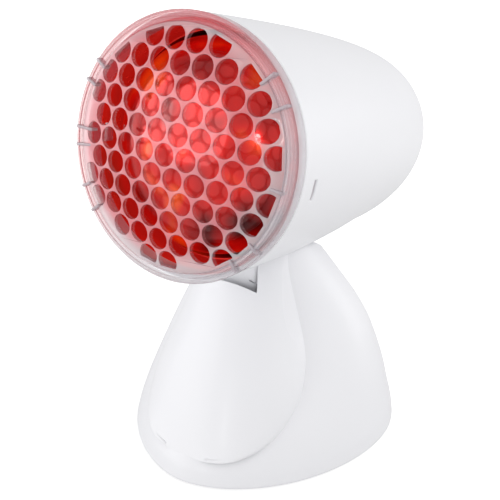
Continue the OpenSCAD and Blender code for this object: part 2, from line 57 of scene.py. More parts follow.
# ------------------------------------------------------------------ materials
def new_mat(name):
    m = bpy.data.materials.new(name)
    m.use_nodes = True
    nt = m.node_tree
    return m, nt, nt.nodes["Principled BSDF"]


def link(nt, a, ao, b, bi):
    nt.links.new(a.outputs[ao], b.inputs[bi])


def coords(nt, scale=1.0):
    t = nt.nodes.new("ShaderNodeTexCoord")
    m = nt.nodes.new("ShaderNodeMapping")
    m.inputs["Scale"].default_value = (scale, scale, scale)
    link(nt, t, "Object", m, "Vector")
    return m


def noise(nt, src, scale, detail=4.0, rough=0.5):
    n = nt.nodes.new("ShaderNodeTexNoise")
    n.inputs["Scale"].default_value = scale
    n.inputs["Detail"].default_value = detail
    n.inputs["Roughness"].default_value = rough
    link(nt, src, "Vector", n, "Vector")
    return n


def ramp(nt, src, out, stops):
    r = nt.nodes.new("ShaderNodeValToRGB")
    cr = r.color_ramp
    while len(cr.elements) < len(stops):
        cr.elements.new(0.5)
    for e, (p, c) in zip(cr.elements, stops):
        e.position = p
        e.color = (*c, 1.0) if len(c) == 3 else c
    link(nt, src, out, r, "Fac")
    return r


def surface(name, c0, c1, rough=(0.3, 0.36), tint_scale=12.0, grain=900.0, bump=0.02, metal=0.0,
            coat=0.0, coat_rough=0.1, spec=0.5, sub=0.0, stretch=None):
    """A moulded, cast or turned surface: slow tint, slow gloss change and a fine grain."""
    m, nt, b = new_mat(name)
    src = coords(nt)
    if stretch:
        src.inputs["Scale"].default_value = stretch
    slow = noise(nt, src, tint_scale, 3.0)
    tint = ramp(nt, slow, "Fac", [(0.3, c0), (0.7, c1)])
    link(nt, tint, "Color", b, "Base Color")
    mid = noise(nt, src, tint_scale * 4, 5.0)
    mr = nt.nodes.new("ShaderNodeMapRange")
    mr.inputs["From Min"].default_value = 0.3
    mr.inputs["From Max"].default_value = 0.7
    mr.inputs["To Min"].default_value = rough[0]
    mr.inputs["To Max"].default_value = rough[1]
    link(nt, mid, "Fac", mr, "Value")
    link(nt, mr, "Result", b, "Roughness")
    fine = noise(nt, src, grain, 2.0)
    bm = nt.nodes.new("ShaderNodeBump")
    bm.inputs["Strength"].default_value = bump
    bm.inputs["Distance"].default_value = 0.0002
    link(nt, fine, "Fac", bm, "Height")
    link(nt, bm, "Normal", b, "Normal")
    b.inputs["Metallic"].default_value = metal
    b.inputs["Coat Weight"].default_value = coat
    b.inputs["Coat Roughness"].default_value = coat_rough
    b.inputs["Specular IOR Level"].default_value = spec
    if sub:
        b.inputs["Subsurface Weight"].default_value = sub
        b.inputs["Subsurface Radius"].default_value = (0.004, 0.004, 0.004)
    return m


M = {}
M["white_shell"] = surface("white_shell_m", (0.845, 0.845, 0.875), (0.865, 0.865, 0.89), (0.34, 0.40), 9, 1400, 0.012,
                           coat=0.12, coat_rough=0.15)
# painted red light: the aluminium shield is tinted red, standing in for the bulb's red light falling on it
M["reflector_alu"] = surface("reflector_alu_m", (0.70, 0.10, 0.085), (0.84, 0.20, 0.16), (0.16, 0.26), 30, 700, 0.06, metal=1.0,
                             stretch=(1, 6, 1))
M["cap_metal"] = surface("cap_metal_m", (0.72, 0.71, 0.68), (0.82, 0.81, 0.78), (0.25, 0.4), 60, 900, 0.08, metal=1.0)
M["black_glass"] = surface("black_glass_m", (0.01, 0.01, 0.012), (0.03, 0.03, 0.035), (0.08, 0.16), 60, 900, 0.02)
M["solder"] = surface("solder_m", (0.5, 0.5, 0.52), (0.66, 0.66, 0.68), (0.35, 0.55), 200, 1500, 0.2, metal=1.0)
M["tungsten"] = surface("tungsten_m", (0.3, 0.28, 0.27), (0.5, 0.47, 0.44), (0.3, 0.5), 300, 3000, 0.2, metal=1.0)
M["porcelain"] = surface("porcelain_m", (0.80, 0.79, 0.75), (0.88, 0.87, 0.83), (0.12, 0.2), 30, 500, 0.03, coat=0.6)
M["brass_part"] = surface("brass_part_m", (0.66, 0.47, 0.19), (0.80, 0.60, 0.28), (0.22, 0.38), 80, 1200, 0.06, metal=1.0)
M["zinc_steel"] = surface("zinc_steel_m", (0.58, 0.60, 0.63), (0.72, 0.73, 0.76), (0.26, 0.42), 60, 1400, 0.1, metal=1.0)
M["ballast_steel"] = surface("ballast_steel_m", (0.07, 0.075, 0.08), (0.11, 0.115, 0.12), (0.45, 0.6), 40, 900, 0.2)
M["dark_plastic"] = surface("dark_plastic_m", (0.022, 0.022, 0.024), (0.035, 0.035, 0.038), (0.36, 0.5), 50, 1800, 0.15)
M["nylon_block"] = surface("nylon_block_m", (0.74, 0.74, 0.69), (0.80, 0.80, 0.75), (0.4, 0.5), 50, 1500, 0.1, sub=0.1)
M["washer_fibre"] = surface("washer_fibre_m", (0.42, 0.33, 0.22), (0.52, 0.42, 0.29), (0.6, 0.8), 300, 2500, 0.3)
M["lead_silicone"] = surface("lead_silicone_m", (0.08, 0.09, 0.22), (0.12, 0.13, 0.28), (0.4, 0.55), 100, 1600, 0.1)
M["foot_rubber"] = surface("foot_rubber_m", (0.028, 0.028, 0.03), (0.045, 0.045, 0.048), (0.7, 0.85), 80, 2000, 0.3)
M["base_plastic"] = surface("base_plastic_m", (0.66, 0.66, 0.69), (0.72, 0.72, 0.75), (0.45, 0.6), 30, 1500, 0.2)


def clear_plastic(name, base, alpha, rough, seed, glow=None, fade=(0.041, 0.050), middle=(-0.004, 0.163), lit=0.1, edge_on_shade=None):
    """Clear moulded plastic seen as a thin tinted skin, with flow marks. With glow it carries painted red light: toward
    the middle its colour turns red and it gives off a red emission, standing in for the light of the bulb behind it.
    """
    m, nt, b = new_mat(name)
    src = coords(nt)
    n = noise(nt, src, seed, 3.0)
    t = ramp(nt, n, "Fac", [(0.35, base), (0.65, tuple(min(1, c * 1.03) for c in base))])
    # painted red light: within fade of middle the colour mixes toward glow, and a red emission of strength lit is added
    if glow:
        tc = nt.nodes.new("ShaderNodeTexCoord")
        sb = nt.nodes.new("ShaderNodeVectorMath")
        sb.operation = "SUBTRACT"
        link(nt, tc, "Object", sb, 0)
        sb.inputs[1].default_value = (middle[0], 0.0, middle[1])
        ms = nt.nodes.new("ShaderNodeVectorMath")
        ms.operation = "MULTIPLY"
        link(nt, sb, "Vector", ms, 0)
        ms.inputs[1].default_value = (1.0, 0.0, 1.0)
        ln = nt.nodes.new("ShaderNodeVectorMath")
        ln.operation = "LENGTH"
        link(nt, ms, "Vector", ln, 0)
        fd = nt.nodes.new("ShaderNodeMapRange")
        fd.interpolation_type = "SMOOTHSTEP"
        fd.inputs["From Min"].default_value = fade[0]
        fd.inputs["From Max"].default_value = fade[1]
        fd.inputs["To Min"].default_value = 1.0
        fd.inputs["To Max"].default_value = 0.0
        link(nt, ln, "Value", fd, "Value")
        mx = nt.nodes.new("ShaderNodeMix")
        mx.data_type = "RGBA"
        link(nt, fd, "Result", mx, "Factor")
        nt.links.new(t.outputs["Color"], mx.inputs[6])
        mx.inputs[7].default_value = (*glow, 1.0)
        colour = mx.outputs[2]
        em = nt.nodes.new("ShaderNodeMath")
        em.operation = "MULTIPLY"
        em.inputs[1].default_value = lit
        link(nt, fd, "Result", em, 0)
        b.inputs["Emission Color"].default_value = (1.0, 0.14, 0.14, 1.0)
        link(nt, em, "Value", b, "Emission Strength")
    else:
        colour = t.outputs["Color"]
    if edge_on_shade:
        # painted edge shade: the colour darkens toward this shade colour where the skin is seen edge-on
        lr = nt.nodes.new("ShaderNodeLayerWeight")
        lr.inputs["Blend"].default_value = 0.5
        pw = nt.nodes.new("ShaderNodeMapRange")
        pw.inputs["From Min"].default_value = 0.55
        pw.inputs["From Max"].default_value = 0.95
        link(nt, lr, "Facing", pw, "Value")
        rm = nt.nodes.new("ShaderNodeMix")
        rm.data_type = "RGBA"
        link(nt, pw, "Result", rm, "Factor")
        nt.links.new(colour, rm.inputs[6])
        rm.inputs[7].default_value = (*edge_on_shade, 1.0)
        colour = rm.outputs[2]
    nt.links.new(colour, b.inputs["Base Color"])
    fine = noise(nt, src, 350, 2.0)
    mr = nt.nodes.new("ShaderNodeMapRange")
    mr.inputs["To Min"].default_value = rough * 0.7
    mr.inputs["To Max"].default_value = rough * 1.4
    link(nt, fine, "Fac", mr, "Value")
    link(nt, mr, "Result", b, "Roughness")
    # thicker look where the skin turns edge-on
    lw = nt.nodes.new("ShaderNodeLayerWeight")
    lw.inputs["Blend"].default_value = 0.35
    mr2 = nt.nodes.new("ShaderNodeMapRange")
    mr2.inputs["To Min"].default_value = alpha[0]
    mr2.inputs["To Max"].default_value = alpha[1]
    link(nt, lw, "Facing", mr2, "Value")
    link(nt, mr2, "Result", b, "Alpha")
    b.inputs["IOR"].default_value = 1.55
    b.inputs["Specular IOR Level"].default_value = 0.6
    b.inputs["Coat Weight"].default_value = 0.4
    b.inputs["Coat Roughness"].default_value = 0.04
    bm = nt.nodes.new("ShaderNodeBump")
    bm.inputs["Strength"].default_value = 0.05
    bm.inputs["Distance"].default_value = 0.0003
    link(nt, n, "Fac", bm, "Height")
    link(nt, bm, "Normal", b, "Normal")
    return m


# painted red light: the middle of the cover face is tinted pink-red and glows faintly red
M["clear_cover"] = clear_plastic("clear_cover_m", (0.92, 0.88, 0.91), (0.40, 0.85), 0.08, 40, glow=(0.96, 0.42, 0.46), lit=0.06)
# hole walls: a darker tint as painted edge shade, with painted red light toward the middle
M["clear_edge"] = clear_plastic("clear_edge_m", (0.50, 0.42, 0.46), (0.03, 0.34), 0.08, 60, glow=(0.55, 0.12, 0.14), lit=0.0)
# bevels round the holes: a painted dark line of edge shade, with a dim painted red toward the middle
M["clear_line"] = clear_plastic("clear_line_m", (0.30, 0.24, 0.27), (0.72, 0.85), 0.10, 60, glow=(0.24, 0.035, 0.04), lit=0.0)
M["clear_back"] = clear_plastic("clear_back_m", (0.90, 0.88, 0.90), (0.02, 0.20), 0.10, 60)
# painted red light on the ring toward the middle, and painted shade where the ring is seen edge-on
M["clear_ring"] = clear_plastic("clear_ring_m", (0.78, 0.76, 0.80), (0.26, 0.92), 0.08, 50, glow=(0.80, 0.22, 0.25), fade=(0.046, 0.062),
                                middle=(-0.010, 0.170), lit=0.03, edge_on_shade=(0.30, 0.20, 0.23))


def ruby():
    m, nt, b = new_mat("ruby_glass_m")
    src = coords(nt)
    n = noise(nt, src, 34, 2.5)
    # painted reflections: the tint runs at random from near black through the glass's own red to orange, standing in
    # for dark and bright reflections in the bulb; the bulb's own faint glow follows the same patches
    c = ramp(nt, n, "Fac", [(0.34, (0.04, 0.0004, 0.0004)), (0.43, (0.34, 0.002, 0.002)), (0.55, (0.62, 0.006, 0.003)), (0.68, (0.86, 0.11, 0.005))])
    link(nt, c, "Color", b, "Base Color")
    link(nt, c, "Color", b, "Emission Color")
    b.inputs["Emission Strength"].default_value = 0.20
    b.inputs["Metallic"].default_value = 0.75
    f = noise(nt, src, 90, 2.0)
    mr = nt.nodes.new("ShaderNodeMapRange")
    mr.inputs["To Min"].default_value = 0.10
    mr.inputs["To Max"].default_value = 0.16
    link(nt, f, "Fac", mr, "Value")
    link(nt, mr, "Result", b, "Roughness")
    b.inputs["Specular IOR Level"].default_value = 0.4
    b.inputs["Coat Weight"].default_value = 0.8
    b.inputs["Coat Roughness"].default_value = 0.02
    return m


M["ruby_glass"] = ruby()
# painted red light: the white inner wall of the shell's mouth is coloured red and given a red emission, standing in for
# the light the bulb casts on it
M["mouth_lining"] = surface("mouth_lining_m", (0.46, 0.006, 0.006), (0.86, 0.06, 0.02), (0.18, 0.3), 26, 700, 0.03, metal=0.6)
lining = M["mouth_lining"].node_tree.nodes["Principled BSDF"]
lining.inputs["Emission Color"].default_value = (1.0, 0.02, 0.015, 1.0)
lining.inputs["Emission Strength"].default_value = 0.22

# every carried-over solid takes the procedural material of its slot
for sp in frame["record"]["subparts"]:
    ob = frame["nodes"][sp["node"]]
    mat = M[sp["material_slot"]]
    ob.data.materials.clear()
    ob.data.materials.append(mat)


# ------------------------------------------------------------------ mesh helpers
def make(name, verts, faces, body, mat, mats=(), smooth=True, recalc=True, auto=None):
    me = bpy.data.meshes.new(name)
    me.from_pydata([tuple(v) for v in verts], [], faces)
    ob = bpy.data.objects.new(name, me)
    col.objects.link(ob)
    for mm in (mat, *mats):
        me.materials.append(mm)
    bm = bmesh.new()
    bm.from_mesh(me)
    bmesh.ops.remove_doubles(bm, verts=bm.verts, dist=2e-6)
    if recalc:
        bmesh.ops.recalc_face_normals(bm, faces=bm.faces)
    for f in bm.faces:
        f.smooth = smooth
    if auto:
        for e in bm.edges:
            if len(e.link_faces) == 2 and e.calc_face_angle(0) > R(auto):
                e.smooth = False
    bm.to_mesh(me)
    bm.free()
    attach(ob, body)
    return ob


def outward(ob, probe):
    """Turns an open skin right side out: the face nearest to probe must look away from the middle."""
    bm = bmesh.new()
    bm.from_mesh(ob.data)
    f = min(bm.faces, key=lambda q: (q.calc_center_median() - Vector(probe)).length)
    c = f.calc_center_median()
    if f.normal @ (c - Vector((0, 0, c.z))) < 0:
        bmesh.ops.reverse_faces(bm, faces=bm.faces)
    bm.to_mesh(ob.data)
    bm.free()


def sharpen(ob, angle):
    bm = bmesh.new()
    bm.from_mesh(ob.data)
    for e in bm.edges:
        e.smooth = not (len(e.link_faces) == 2 and e.calc_face_angle(0) > R(angle))
    for f in bm.faces:
        f.smooth = True
    bm.to_mesh(ob.data)
    bm.free()


def bevel(ob, width, seg=2, angle=35):
    b = ob.modifiers.new("edge", "BEVEL")
    b.width = width
    b.segments = seg
    b.limit_method = "ANGLE"
    b.angle_limit = R(angle)
    b.harden_normals = False
    return b


def apply_all(ob):
    dg = bpy.context.evaluated_depsgraph_get()
    me = bpy.data.meshes.new_from_object(ob.evaluated_get(dg))
    ob.modifiers.clear()
    ob.data = me


def lathe(name, prof, n, pt, body, mat, closed=True, auto=40, arc=None):
    """prof: list of (radius, y). Turned round the local y axis."""
    verts, faces = [], []
    m = len(prof)
    for r, y in prof:
        for k in range(n):
            a = 2 * math.pi * k / n
            verts.append(pt(r * math.cos(a), y, r * math.sin(a)))
    rng = range(m) if closed else range(m - 1)
    for j in rng:
        j2 = (j + 1) % m
        for k in range(n):
            k2 = (k + 1) % n
            a, b, c, d = j * n + k, j * n + k2, j2 * n + k2, j2 * n + k
            faces.append([a, b, c, d])
    me_faces = []
    for f in faces:
        me_faces.append(f)
    return make(name, verts, me_faces, body, mat, auto=auto)


def arc_pts(cx, cy, r, a0, a1, n):
    return [(cx + r * math.cos(R(a0 + (a1 - a0) * i / n)), cy + r * math.sin(R(a0 + (a1 - a0) * i / n))) for i in range(n + 1)]


def block(name, lo, hi, pt, body, mat, turn=0.0, width=0.25, seg=3, div=(1, 1, 1)):
    """Rounded bar given by its low and high corners in mm, turned round the local y axis."""
    verts, faces = [], []
    ca, sa = math.cos(R(turn)), math.sin(R(turn))
    cs = []
    for x in (lo[0], hi[0]):
        for y in (lo[1], hi[1]):
            for z in (lo[2], hi[2]):
                cs.append(pt(x * ca - z * sa, y, x * sa + z * ca))
    fs = [(0, 1, 3, 2), (4, 6, 7, 5), (0, 4, 5, 1), (2, 3, 7, 6), (0, 2, 6, 4), (1, 5, 7, 3)]
    ob = make(name, cs, fs, body, mat)
    bevel(ob, width / 1000, seg)
    return ob


# ------------------------------------------------------------------ head shell
RR, SW, L, HP = 55.0, 0.8, 210.0, 3.57
WALL = 2.4


def head_r(y, l=L, off=0.0):
    base = RR + SW * math.sin(R(90 * min(y / 80, 1)))
    return max((base - off), 0) * max(1 - (y / l) ** HP, 0) ** (1 / 6)


def smoothstep(a, b, x):
    t = min(max((x - a) / (b - a), 0), 1)
    return t * t * (3 - 2 * t)


def belly(y, ang):
    """The underside is a little fuller in front of the neck and tucked in behind it."""
    w = max(0.0, -math.sin(ang)) ** 2
    return w * (0.7 * math.exp(-((y - 56) / 20) ** 2) - 1.3 * math.exp(-((y - 120) / 20) ** 2))


def head_shell():
    ny, na = 84, 144
    ys = [3.9, 4.6, 6, 8, 10, 12, 13.4, 14.5, 15.6, 17.5, 20, 23, 27]
    ys += [27 + (150 - 27) * (i / 30) for i in range(1, 31)]
    phi0 = math.asin((150 / L) ** (HP / 2))
    ys += [L * math.sin(phi0 + (math.pi / 2 - phi0) * i / 44) ** (2 / HP) for i in range(1, 44)]
    yl = [min(y, 207.5 + 0 * y) if False else y for y in ys]
    slot_c = [15 + 30 * k for k in range(12)]
    win = [(-10.8, 4.5), (177.6, 4.5)]

    def angles(r, y):
        h = math.degrees(math.asin(min(1.5 / max(r, 6.0), 0.6)))
        k = smoothstep(30, 50, r)
        h = h * (1 - k) + 2.5 * k
        out = []
        for c in slot_c:
            out += [c - h, c, c + h]
            rest = (30 - 2 * h) / 10
            out += [c + h + rest * i for i in range(1, 10)]
        # lines of the two side windows
        w = smoothstep(3, 9, y) * (1 - smoothstep(20, 60, y))
        if w > 0:
            for c, hw in win:
                for tgt in (c - hw, c, c + hw):
                    j = min(range(len(out)), key=lambda q: abs((out[q] - tgt + 180) % 360 - 180))
                    d = (tgt - out[j] + 180) % 360 - 180
                    for q in range(-3, 4):
                        jj = (j + q) % len(out)
                        out[jj] += d * w * (1 - abs(q) / 4) if q == 0 else d * w * 0.0
        return out

    outer, inner = [], []
    for y in ys:
        r = head_r(y)
        A = angles(r, y)
        yi = y * (L - WALL) / L if y > 60 else y
        ri = max(head_r(yi, L - WALL, WALL), 0.0)
        ro, rn = [], []
        for a in A:
            t = R(a)
            b = belly(y, t)
            ro.append(head_pt((r + b) * math.cos(t), y, (r + b) * math.sin(t)))
            rn.append(head_pt((ri + b) * math.cos(t), yi, (ri + b) * math.sin(t)))
        outer.append(ro)
        inner.append(rn)
    na = len(outer[0])
    verts = [v for r in outer for v in r] + [v for r in inner for v in r]
    n1 = len(ys) * na
    po, pi_ = len(verts), len(verts) + 1
    verts += [head_pt(0, L, 0), head_pt(0, L - WALL, 0)]

    def cut(j, k):
        y0, y1 = ys[j], ys[j + 1]
        r = head_r((y0 + y1) / 2)
        a = angles(r, (y0 + y1) / 2)
        am = (a[k] + (a[(k + 1) % na] if k + 1 < na else a[0] + 360)) / 2
        if 13.3 < (y0 + y1) / 2 < 15.7:
            for c, hw in win:
                if abs((am - c + 180) % 360 - 180) < hw:
                    return True
        if 14.5 < r < 28 and y0 > 150:
            if any(abs((am - c + 180) % 360 - 180) < math.degrees(math.asin(1.5 / r)) * 0.99 for c in slot_c):
                return True
        return False

    faces = []
    C = [[cut(j, k) for k in range(na)] for j in range(len(ys) - 1)]
    for j in range(len(ys) - 1):
        for k in range(na):
            if C[j][k]:
                continue
            k2 = (k + 1) % na
            a, b, c, d = j * na + k, j * na + k2, (j + 1) * na + k2, (j + 1) * na + k
            faces.append([a, b, c, d])
            faces.append([n1 + d, n1 + c, n1 + b, n1 + a])
            if C[j][(k - 1) % na]:
                faces.append([a, d, n1 + d, n1 + a])
            if C[j][(k + 1) % na]:
                faces.append([c, b, n1 + b, n1 + c])
            if j > 0 and C[j - 1][k]:
                faces.append([b, a, n1 + a, n1 + b])
            if j < len(ys) - 2 and C[j + 1][k]:
                faces.append([d, c, n1 + c, n1 + d])
    j = len(ys) - 1
    for k in range(na):
        k2 = (k + 1) % na
        faces.append([j * na + k, j * na + k2, po])
        faces.append([n1 + j * na + k2, n1 + j * na + k, pi_])
        faces.append([k2, k, n1 + k, n1 + k2])
    ob = make("head_shell_skin", verts, faces, "head", M["white_shell"], mats=(M["mouth_lining"],), auto=50)
    for p in ob.data.polygons:
        c = p.center
        y = (c.y + YM / 1000) * CT - (c.z - RIM / 1000) * ST
        z = (c.y + YM / 1000) * ST + (c.z - RIM / 1000) * CT
        # painted red light: inward-facing faces from 5 to 62 mm behind the mouth take the red material that stands in
        # for the bulb's light
        if 0.005 < y < 0.062 and p.normal @ (head_pt(c.x * 1000, 0, z * 1000) - head_pt(0, 0, 0)).normalized() < -0.3:
            p.material_index = 1
    bevel(ob, 0.0005, 2, 60)
    return ob


shell = head_shell()
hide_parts("head_shell")

# neck: a drum round the pin, carried up into the shell
DY = PIN_Y * CT + (RIM - PIN_Z) * ST
DZ = PIN_Y * ST - (RIM - PIN_Z) * CT


def under(x, y, r=54.0):
    """Height of the head's underside above the table, for a point of the foot's frame."""
    return RIM - y * math.tan(TILT) - math.sqrt(r * r - x * x)


def boxcut(ob, boxes):
    box_f = [(0, 1, 3, 2), (4, 6, 7, 5), (0, 4, 5, 1), (2, 3, 7, 6), (0, 2, 6, 4), (1, 5, 7, 3)]
    made = []
    for cs in boxes:
        me = bpy.data.meshes.new("cut")
        me.from_pydata([tuple(v) for v in cs], [], box_f)
        q = bmesh.new()
        q.from_mesh(me)
        bmesh.ops.recalc_face_normals(q, faces=q.faces)
        q.to_mesh(me)
        q.free()
        o = bpy.data.objects.new("cut", me)
        col.objects.link(o)
        made.append(o)
        md = ob.modifiers.new("cut", "BOOLEAN")
        md.operation = "DIFFERENCE"
        md.solver = "MANIFOLD"
        md.object = o
    bpy.context.view_layer.update()
    apply_all(ob)
    for o in made:
        bpy.data.objects.remove(o)


def neck():
    """Drum round the pin, carried up into the shell."""
    prof = []
    n = 40
    rr = 14.5
    for i in range(n + 1):
        a = R(180 + 180 * i / n)
        prof.append((PIN_Y + rr * math.cos(a), PIN_Z + rr * math.sin(a), 0))
    for i in range(1, 9):
        prof.append((PIN_Y + rr, PIN_Z, i / 8))
    for i in range(1, 14):
        prof.append((PIN_Y + rr - 2 * rr * i / 14, PIN_Z, 1))
    for i in range(0, 8):
        prof.append((PIN_Y - rr, PIN_Z, 1 - i / 8))
    xs = [-17 + 34 * i / 16 for i in range(17)]
    verts, faces = [], []
    m = len(prof)
    for x in xs:
        for y, z, t in prof:
            verts.append(foot_pt(x, y, z + (under(x, y) - z) * t))
    for i in range(len(xs) - 1):
        for j in range(m):
            j2 = (j + 1) % m
            faces.append([i * m + j, i * m + j2, (i + 1) * m + j2, (i + 1) * m + j])
    faces.append([j for j in range(m)])
    faces.append([(len(xs) - 1) * m + j for j in range(m)][::-1])
    ob = make("head_neck", verts, faces, "head", M["white_shell"], auto=45)
    bevel(ob, 0.0012, 3, 60)
    return ob


def nose():
    """The neck's nose, which fills the notch of the front panel."""
    w, y0, y1, rc = 13.4, 41.0, 71.0, 3.4
    plan = [(-w, y1)]
    plan += [(-w, y1 - (y1 - y0 - rc - 2.0) * i / 5) for i in range(1, 5)]
    plan += [(-w + rc + rc * math.cos(R(180 + 90 * i / 8)), y0 + 1.6 + rc + rc * math.sin(R(180 + 90 * i / 8))) for i in range(9)]
    k = 14
    for i in range(1, k):
        x = (-w + rc) + (2 * w - 2 * rc) * i / k
        plan.append((x, y0 + 1.6 * (x / (w - rc)) ** 2))
    plan += [(w - rc + rc * math.cos(R(270 + 90 * i / 8)), y0 + 1.6 + rc + rc * math.sin(R(270 + 90 * i / 8))) for i in range(9)]
    plan += [(w, y1 - (y1 - y0 - rc - 2.0) * (5 - i) / 5) for i in range(1, 5)]
    plan += [(w, y1)]
    plan += [(w - 2 * w * i / 10, y1) for i in range(1, 10)]
    verts, faces = [], []
    m = len(plan)
    nl = 16
    for j in range(nl + 1):
        t = j / nl
        for x, y in plan:
            verts.append(foot_pt(x, y, 74.0 + (under(x, y) - 74.0) * t))
    for j in range(nl):
        for i in range(m):
            i2 = (i + 1) % m
            faces.append([j * m + i, j * m + i2, (j + 1) * m + i2, (j + 1) * m + i])
    faces.append(list(range(m))[::-1])
    faces.append([nl * m + i for i in range(m)])
    ob = make("head_neck_nose", verts, faces, "head", M["white_shell"], auto=45)
    # small sloping slit beside each front corner
    cuts = []
    for sx in (-1, 1):
        c, sn = math.cos(R(24)), math.sin(R(24))
        cs = []
        for du in (-2.0, 2.0):
            for y in (38.0, 44.6):
                for dv in (-0.38, 0.38):
                    cs.append(foot_pt(sx * (10.9 + du * c + dv * sn), y, 89.2 - du * sn + dv * c))
        cuts.append(cs)
    boxcut(ob, cuts)
    sharpen(ob, 45)
    return ob


nk = neck()
ns = nose()

# ------------------------------------------------------------------ clear cover
DOME_R, DOME_H, FT = 217.0, 9.6, 2.2
PITCH, HR = 10.4, 4.6
FIELD = 49.2


def face_y(r):
    return DOME_R - DOME_H - math.sqrt(DOME_R ** 2 - r * r)


def cover_plate():
    bev = 0.28
    cu = bpy.data.curves.new("plate", "CURVE")
    cu.dimensions = "2D"
    cu.fill_mode = "BOTH"
    cu.extrude = FT / 2 - bev
    cu.bevel_depth = bev
    cu.bevel_resolution = 2

    def loop(pts):
        s = cu.splines.new("POLY")
        s.points.add(len(pts) - 1)
        for p, q in zip(s.points, pts):
            p.co = (q[0], q[1], 0, 1)
        s.use_cyclic_u = True

    ro = 50.5 - bev
    loop([(ro * math.cos(2 * math.pi * i / 240), ro * math.sin(2 * math.pi * i / 240)) for i in range(240)])
    t = R(-6.6)
    for j in range(-4, 9):
        for i in range(-2, 11):
            x = PITCH * (i + (0 if j % 2 == 0 else 0.5) - 4.07)
            z = PITCH * 0.866 * (1.9 - j)
            if math.hypot(x, z) >= 47.9:
                continue
            x, z = x * math.cos(t) - z * math.sin(t), x * math.sin(t) + z * math.cos(t)
            r = HR + bev
            # part holes keep one straight side, square to the radius
            d = math.hypot(x, z)
            lim = FIELD - 0.2
            pts = []
            for k in range(48):
                a = 2 * math.pi * k / 48
                px, pz = r * math.cos(a), r * math.sin(a)
                ux, uz = (x / d, z / d) if d > 1e-6 else (1, 0)
                along = d + px * ux + pz * uz
                if along > lim:
                    px -= (along - lim) * ux
                    pz -= (along - lim) * uz
                pts.append((x + px, z + pz))
            # drop points that coincide after the cut
            q = [pts[0]]
            for p in pts[1:]:
                if math.hypot(p[0] - q[-1][0], p[1] - q[-1][1]) > 0.05:
                    q.append(p)
            loop(q)
    ob = bpy.data.objects.new("plate_curve", cu)
    col.objects.link(ob)
    dg = bpy.context.evaluated_depsgraph_get()
    me = bpy.data.meshes.new_from_object(ob.evaluated_get(dg))
    bpy.data.objects.remove(ob)
    verts = []
    for v in me.vertices:
        x, z, w = v.co
        r = math.hypot(x, z)
        verts.append(head_pt(x, face_y(r) + FT / 2 - w, z))
    faces = [list(p.vertices) for p in me.polygons]
    ob = make("cover_face", verts, faces, "head", M["clear_cover"], mats=(M["clear_edge"], M["clear_line"], M["clear_back"]), auto=60)
    # clear walls in the holes with a darker painted shade, a painted dark line of edge shade on the bevel round each
    # hole, and a back that hardly shows
    n = (head_pt(0, -1, 0) - head_pt(0, 0, 0)).normalized()
    for p in ob.data.polygons:
        d = p.normal @ n
        if abs(d) < 0.3:
            p.material_index = 1
        elif abs(d) < 0.93:
            p.material_index = 2
        elif d < 0:
            p.material_index = 3
    return ob


plate = cover_plate()
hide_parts("front_cover")

ring_prof = ([(50.2, -1.6), (50.2, -3.9)] + arc_pts(51.0, -4.5, 0.6, 180, 60, 5) + [(51.9, -4.4)] + arc_pts(52.2, -3.9, 0.35, 70, 0, 3)
             + [(52.7, -3.1), (53.2, -3.0)] + arc_pts(53.7, -3.4, 0.45, 170, 70, 4) + arc_pts(54.3, -2.7, 0.7, 60, 0, 4)
             + [(55.0, -1.2), (55.0, 2.6)] + arc_pts(54.6, 2.9, 0.4, 0, 90, 3) + [(53.2, 3.3), (52.1, 3.6), (52.1, 8.4), (51.1, 8.4), (51.1, 0.6)])
ring = lathe("cover_ring", ring_prof, 192, head_pt, "head", M["clear_ring"], auto=55)


def rib(i, a, r0, r1, y0, y1, w=1.3):
    return block(f"cover_rib_{i}", (r0, y0, -w / 2), (r1, y1, w / 2), head_pt, "head", M["clear_edge2"], turn=a, width=0.3)


M["clear_edge2"] = clear_plastic("clear_rib_m", (0.52, 0.46, 0.50), (0.55, 0.9), 0.1, 60)
ribs = [(37.2, 47.4, 54.6), (24.0, 47.2, 54.4), (-11.0, 45.8, 51.6), (-39.8, 48.8, 54.6), (-53.3, 48.9, 54.6),
        (173.7, 44.2, 53.6), (-177.7, 44.2, 53.6), (140.0, 48.6, 54.4), (150.6, 48.6, 54.4), (-157.6, 48.8, 54.0), (-145.0, 48.8, 54.0)]
for i, (a, r0, r1) in enumerate(ribs):
    rib(i, a, r0, r1, -4.9, -1.2)
for i, a in enumerate((-10.8, 177.6)):
    block(f"cover_snap_{i}", (51.1, 5, -3.9), (52.1, 17, 3.9), head_pt, "head", M["clear_ring"], turn=a, width=0.2)
    block(f"cover_barb_{i}", (51.1, 13.7, -3.9), (54.1, 15.3, 3.9), head_pt, "head", M["clear_ring"], turn=a, width=0.2)

# ------------------------------------------------------------------ bulb
BULB = [(0, 4), (15, 4.9), (28, 7.2), (38, 10.4), (44, 14.6), (47, 20), (47.5, 27), (46, 38), (42.5, 50), (37.5, 62), (31.5, 74), (25.6, 86),
        (20.8, 96), (17.6, 105), (16.4, 112.8)]


def catmull(p, n):
    out = []
    for i in range(len(p) - 1):
        a, b, c, d = p[max(i - 1, 0)], p[i], p[i + 1], p[min(i + 2, len(p) - 1)]
        if i == 0:
            a = (-p[1][0], p[1][1])
        for k in range(n):
            t = k / n
            out.append(tuple(0.5 * ((2 * b[m]) + (-a[m] + c[m]) * t + (2 * a[m] - 5 * b[m] + 4 * c[m] - d[m]) * t * t
                                    + (-a[m] + 3 * b[m] - 3 * c[m] + d[m]) * t ** 3) for m in (0, 1)))
    out.append(p[-1])
    return out


bp = catmull(BULB, 5)
bulb = lathe("bulb_envelope", [(max(r, 0.01), y) for r, y in bp], 128, head_pt, "head", M["ruby_glass"], closed=False, auto=None)
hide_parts("bulb_glass")

